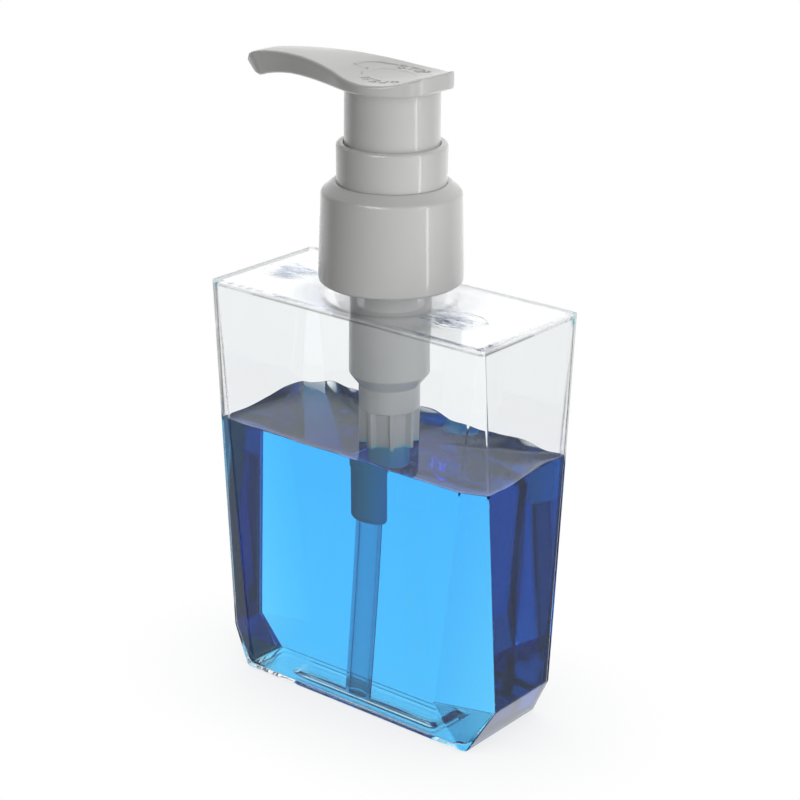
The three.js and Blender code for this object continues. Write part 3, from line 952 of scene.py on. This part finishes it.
def make_dip_tube():
    """Soft tube that leans to the front wall, its foot a little out of square."""
    segments, steps = 48, 60
    rings = []
    heights = np.linspace(TUBE_FOOT_Z, TUBE_TOP_Z, steps + 1)
    for radius, walk in ((TUBE_R, heights), (TUBE_BORE, heights[::-1])):
        for z in walk:
            ring = []
            for i in range(segments):
                t = 2 * math.pi * i / segments
                x, y = radius * math.cos(t), radius * math.sin(t)
                level = z + (0.25 - x * 0.06) * max(0, 1 - (z - TUBE_FOOT_Z) / 12)
                ring.append((x, y + lean(level), level))
            rings.append(np.array(ring))
    rings.append(rings[0])
    mesh = mesh_from_rings("dip_tube_wall", rings, False, False)
    made = bmesh.new()
    made.from_mesh(mesh)
    bmesh.ops.remove_doubles(made, verts=made.verts, dist=1e-7)
    bmesh.ops.recalc_face_normals(made, faces=made.faces)
    made.to_mesh(mesh)
    made.free()
    mesh.set_sharp_from_angle(angle=math.radians(40))
    piece = add_object("dip_tube_wall", mesh, PE)
    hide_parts("dip_tube")
    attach(piece, "pump_body")


SPRING_LOW, SPRING_HIGH = 75.5, 104.0  # middle of the wire at both ends
SPRING_R = 4.3
WIRE_R = 0.5
SPRING_TURNS = 10


def make_spring():
    """Spring with a closed coil at each end."""
    section = arc(0, 0, WIRE_R, 0, 360, 12)[:-1]
    dead = 2.1 * WIRE_R  # rise of a closed coil
    steps = SPRING_TURNS * 48
    rings = []
    for i in range(steps + 1):
        turn = i / steps * SPRING_TURNS
        ends = min(turn, 1) + max(turn - SPRING_TURNS + 1, 0)
        open_share = min(max((turn - 1) / (SPRING_TURNS - 2), 0), 1)
        z = SPRING_LOW + ends * dead + open_share * (SPRING_HIGH - SPRING_LOW - 2 * dead)
        c, s = math.cos(turn * 2 * math.pi), math.sin(turn * 2 * math.pi)
        ring = [((SPRING_R + r) * c, (SPRING_R + r) * s, z + dz) for r, dz in section]
        rings.append(np.array(ring))
    mesh = mesh_from_rings("compression_spring", rings)
    face_out(mesh)
    made = add_object("compression_spring", mesh, drawn_steel())
    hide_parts("return_spring")
    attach(made, "pump_body")
    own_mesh(made)


make_collar()
make_sleeve()
make_housing()
make_dip_tube()
make_spring()

# ---- Head ----

# Along the spout: distance from the axis, half width, top, foot, crown of the top, foot's lean.
HEAD_STATIONS = np.array([
    (-13.2, 3.2, 152.2, 149.2, 0, 0), (-12.8, 4.9, 152.5, 148.8, 0, 0),
    (-11.5, 7.1, 152.1, 148.5, 0, 0), (-9.5, 8.9, 151.5, 148.35, -0.05, 0),
    (-7, 10.7, 151, 148.35, -0.1, 0), (-4, 12.05, 150.75, 148.35, -0.15, 0),
    (-1, 12.6, 150.7, 148.35, -0.15, 0), (2, 12.35, 150.9, 148.35, -0.15, 0),
    (6, 11.3, 151.45, 148.35, -0.1, 0), (10, 9.8, 152.05, 148.35, 0, 0),
    (14.5, 8.3, 152.5, 148.4, 0.1, 0), (19.2, 6.85, 152.75, 148.35, 0.2, 0),
    (23.8, 5.6, 152.75, 148.2, 0.25, 0.1), (28.4, 4.7, 152.55, 147.85, 0.25, 0.5),
    (33, 4.15, 152.15, 147.25, 0.25, 1.3), (36.4, 3.9, 151.7, 146.7, 0.2, 2.2),
    (39, 3.7, 151, 146.15, 0.15, 3.0), (40.2, 3.3, 150.45, 145.95, 0.05, 3.2),
    (41.1, 2.7, 149.4, 146, 0, 2.9),
])
ACROSS = 168  # points across the top of the head
EDGE = 0.75  # rounding of its upper edge
FOOT_EDGE = 0.7  # and of its lower one
MARKED = 11.6  # the marks lie within this distance of the axis


def head_stations():
    """Stations close together where the marks are, on smooth curves through the ones above."""
    s = HEAD_STATIONS[:, 0]
    dense = np.concatenate([
        np.linspace(s[0], -MARKED, 14)[:-1], np.linspace(-MARKED, MARKED, 156),
        np.linspace(MARKED, s[-1], 70)[1:],
    ])
    columns = [dense]
    for values in HEAD_STATIONS[:, 1:].T:
        slopes = np.gradient(values, s)
        i = np.clip(np.searchsorted(s, dense) - 1, 0, len(s) - 2)
        h = s[i + 1] - s[i]
        t = (dense - s[i]) / h
        columns.append(
            (2 * t**3 - 3 * t**2 + 1) * values[i] + (t**3 - 2 * t**2 + t) * h * slopes[i]
            + (3 * t**2 - 2 * t**3) * values[i + 1] + (t**3 - t**2) * h * slopes[i + 1]
        )
    return np.stack(columns, 1)


ROUND = np.linspace(0, 2 * math.pi, 17)
# Letters as strokes on a square of height 1.
LETTERS = {
    "O": [[(0.5 + 0.36 * math.cos(t), 0.5 + 0.5 * math.sin(t)) for t in ROUND]],
    "P": [[(0.18, 0), (0.18, 1), (0.6, 1), (0.8, 0.88), (0.8, 0.6), (0.6, 0.48), (0.18, 0.48)]],
    "E": [[(0.8, 0), (0.18, 0), (0.18, 1), (0.8, 1)], [(0.18, 0.52), (0.68, 0.52)]],
    "N": [[(0.15, 0), (0.15, 1), (0.85, 0), (0.85, 1)]],
    "S": [[(0.82, 0.85), (0.65, 1), (0.35, 1), (0.18, 0.82), (0.3, 0.58), (0.7, 0.44),
           (0.83, 0.2), (0.65, 0), (0.32, 0), (0.15, 0.16)]],
    "T": [[(0.5, 0), (0.5, 1)], [(0.1, 1), (0.9, 1)]],
}
# Marks: letter, bearing in degrees, radius of its foot, height.
MARKS = (
    ("O", -48, 5.8, 2.4), ("P", -68, 5.8, 2.4), ("E", -86, 5.8, 2.4), ("N", -106, 5.8, 2.4),
    ("S", 113, 6.5, 2.6), ("T", 96, 6.5, 2.6), ("O", 81, 6.5, 2.6), ("P", 66, 6.5, 2.6),
)
LETTER_WIDTH = 0.82  # of a letter's height
STROKE = 0.2  # half width of an engraved line
MARK_DEPTH = 0.26
ARROW_SHARE = 0.7  # of that depth
DISC_R, DISC_DEPTH = 5.1, 0.06  # the slight dish in the middle of the top
# Turning arrow: angle, radius, half width.
ARROW = ((120, 8.6, 0.12), (135, 8.6, 0.5), (150, 8.55, 1.25), (165, 8.5, 1.5), (186, 8.35, 1.2))
ARROW_HEAD = ((186, 8.3, 1.9), (208, 7.9, 1.2), (230, 6.9, 0.0))


def mark_strokes():
    """Every stroke of the marks, in place on the top of the head."""
    strokes = []
    for letter, degrees, radius, height in MARKS:
        a = math.radians(degrees)
        out = np.array([math.cos(a), math.sin(a)])
        right = np.array([math.sin(a), -math.cos(a)])
        for stroke in LETTERS[letter]:
            strokes.append([
                out * (radius + v * height) + right * (u - 0.5) * height * LETTER_WIDTH
                for u, v in stroke
            ])
    return strokes


def stroke_distance(x, y):
    """Distance from each point to the nearest stroke."""
    nearest = np.full(x.shape, 1e9)
    for stroke in mark_strokes():
        for a, b in zip(stroke, stroke[1:]):
            run = b - a
            t = np.clip(((x - a[0]) * run[0] + (y - a[1]) * run[1]) / (run @ run), 0, 1)
            nearest = np.minimum(nearest, np.hypot(x - a[0] - t * run[0], y - a[1] - t * run[1]))
    return nearest


def band(x, y, rows):
    """How far inside a curved band given by angle, radius and half width."""
    rows = np.array(rows)
    angle = np.degrees(np.arctan2(y, x)) % 360
    radius = np.interp(angle, rows[:, 0], rows[:, 1])
    half = np.interp(angle, rows[:, 0], rows[:, 2])
    inside = half - np.abs(np.hypot(x, y) - radius)
    ends = np.minimum(angle - rows[0, 0], rows[-1, 0] - angle) * radius * math.pi / 180
    return np.minimum(inside, ends)


def step(value, width):
    """0 to 1 over a width round 0."""
    t = np.clip(value / width + 0.5, 0, 1)
    return t * t * (3 - 2 * t)


def engraving(x, y):
    """Depth of the marks below the top of the head."""
    letters = step(STROKE - stroke_distance(x, y), 0.22)
    arrow = step(np.maximum(band(x, y, ARROW), band(x, y, ARROW_HEAD)), 0.2)
    disc = step(DISC_R - np.hypot(x, y), 0.5)
    return np.maximum(letters, arrow * ARROW_SHARE) * MARK_DEPTH + disc * DISC_DEPTH


def head_ring(row):
    """Cross-section of the head at a station, from the right end of its top round to the left."""
    s, w, top, foot, crown, foot_lean = row
    edge = min(EDGE, 0.4 * w)
    y = np.linspace(w - edge, -(w - edge), ACROSS + 1)
    z = top + crown * (1 - (y / w) ** 2)
    z -= engraving(np.full(y.shape, -s), y)
    upper = np.stack([y, z], 1)
    turn = np.radians(np.linspace(90, 0, 7))[1:]
    right = np.stack([w - edge + edge * np.cos(turn), z[0] - edge + edge * np.sin(turn)], 1)
    turn = np.radians(np.linspace(0, -90, 5))
    low = min(FOOT_EDGE, 0.4 * w)
    corner = np.stack([w - low + low * np.cos(turn), foot + low + low * np.sin(turn)], 1)
    side = np.concatenate([right, corner])
    under = np.stack([np.linspace(low - w, w - low, 13)[1:-1], np.full(11, foot)], 1)
    # Across the top, down the left side, back under and up the right side.
    outline = np.concatenate([upper, side * (-1, 1), under, side[::-1]])
    x = -s + foot_lean * (top - outline[:, 1]) / (top - foot)
    return np.stack([x, outline[:, 0], outline[:, 1]], 1)


# Along the channel: distance from the axis, half width, half height, height of its middle.
SOAP_WAY = (
    (-1, 1.5, 0.85, 149), (9, 1.5, 0.85, 149.1), (13, 1.5, 0.85, 149.9), (18, 1.5, 1, 150.5),
    (26, 1.4, 1.2, 150.3), (33, 1.4, 1.3, 149.4), (42.5, 1.4, 1.3, 147.6),
)


UNIT_CIRCLE = arc(0, 0, 1, 0, 360, 32)[:-1]


def squarish(value):
    """Sine or cosine bent so that a circle turns into a rounded square."""
    return math.copysign(abs(value) ** 0.6, value)


def soap_way():
    """The channel through the spout, open at its tip."""
    rows = np.array(SOAP_WAY, float)
    rings = []
    for s in np.linspace(rows[0, 0], rows[-1, 0], 60):
        half_y, half_z, z = (np.interp(s, rows[:, 0], rows[:, i]) for i in (1, 2, 3))
        ring = [(-s, half_y * squarish(c), z + half_z * squarish(d)) for c, d in UNIT_CIRCLE]
        rings.append(np.array(ring))
    mesh = mesh_from_rings("soap_way", rings)
    face_out(mesh)
    return add_object("soap_way", mesh, PP)


SKIRT = ((9.25, 134.6), (10.75, 134.6), (10.75, 149), (9.25, 149))
BOSS = ((3.7, 141), (5, 141), (5, 149), (3.7, 149))  # the socket that the stem plugs into


def make_head():
    mesh = mesh_from_rings("head_shell", [head_ring(row) for row in head_stations()])
    face_out(mesh)
    made = add_object("head_shell", mesh, PP)
    skirt = turned("skirt", softened(SKIRT, 0.3), FINE)
    boss = turned("boss", softened(BOSS, 0.25), 96)
    for other in (skirt, boss, block("stop_rib", (7, -0.6, 134.9), (9.65, 0.6, 148.9))):
        other.modifiers.clear()
        union(made, other)
    stem_hole = turned("stem_hole", rod_outline(2, 148.2, 149.2), 48)
    stem_hole.modifiers.clear()
    cut(made, stem_hole)
    cut(made, soap_way())
    made.data.set_sharp_from_angle(angle=math.radians(50))
    flatter(made)
    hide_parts("actuator_head")
    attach(made, "head")


make_head()

# ---- Inner pieces kept from the CAD, with their looks ----

KEPT = {
    "stem": PP, "valve_rod": PP, "gasket": grey_foam(), "inlet_ball": ball_glass(),
    "piston_seal": soft_pe(),
}
for name, material in KEPT.items():
    nodes[name].data.materials.clear()
    nodes[name].data.materials.append(material)

# ---- Floor and light ----

FLOOR_HALF = 6.0
FLOOR_DROP = 0.0002  # keeps the floor from touching the base of the bottle
CONTACT_REACH = 0.035  # how far the soft shade round the base reaches
CONTACT_SHADE = (0.74, 0.76, 0.78)


def make_floor():
    """Pale floor that shines evenly, with a soft shade where the bottle stands."""
    mesh = bpy.data.meshes.new("floor")
    corners = [(-1, -1), (1, -1), (1, 1), (-1, 1)]
    mesh.from_pydata([(x * FLOOR_HALF, y * FLOOR_HALF, 0) for x, y in corners], [], [(0, 1, 2, 3)])
    s = Shader("pale_floor")
    near = s.node("AmbientOcclusion", samples=8)
    near.inputs["Distance"].default_value = CONTACT_REACH
    ramp = s.node("ValToRGB")
    ramp.color_ramp.elements[0].color = (*CONTACT_SHADE, 1)
    ramp.color_ramp.elements[1].color = (1, 1, 1, 1)
    glow = s.node("Emission", Strength=1.0)
    s.link(near.outputs["AO"], ramp.inputs[0])
    s.link(ramp.outputs[0], glow.inputs["Color"])
    s.link(glow.outputs[0], s.out.inputs["Surface"])
    floor = add_object("floor", mesh, s.material)
    floor.location.z = -FLOOR_DROP
    floor.visible_diffuse = False
    floor.visible_glossy = False
    floor.visible_transmission = False
    floor.visible_shadow = False


make_floor()


# Light from a band of bearings, clockwise from +Y seen from above: the middle, the half width of
# its full part, the half width where it ends, and its strength.
THROUGH_BACKDROP = (-32, 48, 66, 1.22)
THROUGH_FRONT = (150, 15, 92, 0.8)
THROUGH_REST = 0.03
DIFFUSE_FRONT = (110, 15, 80, 0.97)
DIFFUSE_BACK = (325, 25, 52, 0.9)
DIFFUSE_REST = 0.015
GLOSSY_BACKDROP = (-38, 50, 75, 1.0)
GLOSSY_STRIP = (82, 1.2, 2.6, 9.0)
GLOSSY_DARKER = (40, 20, 50, -0.18)
GLOSSY_LAMP = (176, 45, 10, 20, 8)  # with its elevation after its bearing
GLOSSY_REST = 0.3
STEEP_FROM, STEEP_TO = 0.66, 0.85  # light from above and below falls off between these
STEEP_LOSS_THROUGH, STEEP_LOSS_DIFFUSE = 0.7, 0.62
INSIDE_GAIN = 0.7  # more light on what is seen through the bottle
SHALLOW_DEPTH = 5.5  # a ray that passed fewer surfaces only crossed the clear part
SHALLOW_LIGHT = 0.62
SHALLOW_VEIL = 0.16
WORN_DEPTH = 10.5  # a ray that passed more surfaces lost most of its light
WORN_LOSS = 0.8


def make_world():
    """Studio: a lit backdrop behind the bottle, a dimmer one in front, dark to both sides.

    Rays that pass through the clear plastic, diffuse rays and mirrored rays each see their own.
    """
    world = bpy.data.worlds.new("studio")
    bpy.context.scene.world = world
    world.use_nodes = True
    world.cycles.sampling_method = "NONE"
    s = Nodes(world.node_tree)
    out = s.node("OutputWorld")
    back = s.node("Background", Color=(1, 1, 1, 1))
    s.link(back.outputs[0], out.inputs[0])
    direction = s.node("TexCoord").outputs["Generated"]
    bearing = s.vector("NORMALIZE", s.vector("MULTIPLY", direction, (1, 1, 0))[0])[0]

    def smooth(value, low, high):
        """0 below low, 1 above high."""
        ramp = s.node("MapRange", interpolation_type="SMOOTHSTEP", From_Min=low, From_Max=high)
        s.link(value, ramp.inputs["Value"])
        return ramp.outputs["Result"]

    def glow(source, azimuth, elevation, width_in, width_out, strength):
        """Light from within an angle of a direction, which source is compared with."""
        a, e = math.radians(azimuth), math.radians(elevation)
        middle = (math.sin(a) * math.cos(e), math.cos(a) * math.cos(e), math.sin(e))
        near = s.vector("DOT_PRODUCT", source, middle)["Value"]
        inner, outer = math.cos(math.radians(width_in)), math.cos(math.radians(width_out))
        return s.maths("MULTIPLY", smooth(near, outer, inner), strength)

    def lobe(azimuth, width_in, width_out, strength):
        """Light from a band of bearings, at every height."""
        return glow(bearing, azimuth, 0, width_in, width_out, strength)

    def total(*values):
        made = values[0]
        for value in values[1:]:
            made = s.maths("ADD", made, value)
        return made

    def lessened(value, mask, loss):
        """The value with a share of it taken off where the mask is 1."""
        kept = s.maths("SUBTRACT", 1.0, s.maths("MULTIPLY", mask, loss))
        return s.maths("MULTIPLY", value, kept)

    def choice(switch, yes, no):
        """One value where the switch is 1 and the other where it is 0."""
        other = s.maths("MULTIPLY", s.maths("SUBTRACT", 1.0, switch), no)
        return s.maths("ADD", s.maths("MULTIPLY", switch, yes), other)

    parts = s.node("SeparateXYZ")
    s.link(direction, parts.inputs[0])
    steep = smooth(s.maths("ABSOLUTE", parts.outputs["Z"]), STEEP_FROM, STEEP_TO)
    rays = s.node("LightPath").outputs
    through_clear = rays["Is Transmission Ray"]
    deep = s.maths("GREATER_THAN", rays["Transmission Depth"], WORN_DEPTH)
    shallow = s.maths("LESS_THAN", rays["Transmission Depth"], SHALLOW_DEPTH)

    through = total(lobe(*THROUGH_BACKDROP), lobe(*THROUGH_FRONT), THROUGH_REST)
    through = s.maths("MAXIMUM", through, s.maths("MULTIPLY", shallow, SHALLOW_LIGHT))
    through = lessened(through, steep, STEEP_LOSS_THROUGH)
    through = lessened(lessened(through, deep, WORN_LOSS), shallow, SHALLOW_VEIL)
    diffuse = total(lobe(*DIFFUSE_FRONT), lobe(*DIFFUSE_BACK), DIFFUSE_REST)
    diffuse = lessened(diffuse, steep, STEEP_LOSS_DIFFUSE)
    diffuse = lessened(diffuse, through_clear, -INSIDE_GAIN)
    glossy = total(
        lobe(*GLOSSY_BACKDROP), lobe(*GLOSSY_STRIP), lobe(*GLOSSY_DARKER),
        glow(direction, *GLOSSY_LAMP), GLOSSY_REST,
    )

    lit = choice(through_clear, through, glossy)
    dulled = s.maths("GREATER_THAN", rays["Diffuse Depth"], 0.5)
    dulled = s.maths("MAXIMUM", dulled, rays["Is Diffuse Ray"])
    lit = choice(dulled, diffuse, lit)
    s.link(choice(rays["Is Camera Ray"], 1.0, lit), back.inputs["Strength"])


make_world()

scene = bpy.context.scene
scene.view_settings.view_transform = "Standard"
scene.cycles.max_bounces = 32
scene.cycles.transmission_bounces = 24
scene.cycles.glossy_bounces = 16
scene.cycles.diffuse_bounces = 4
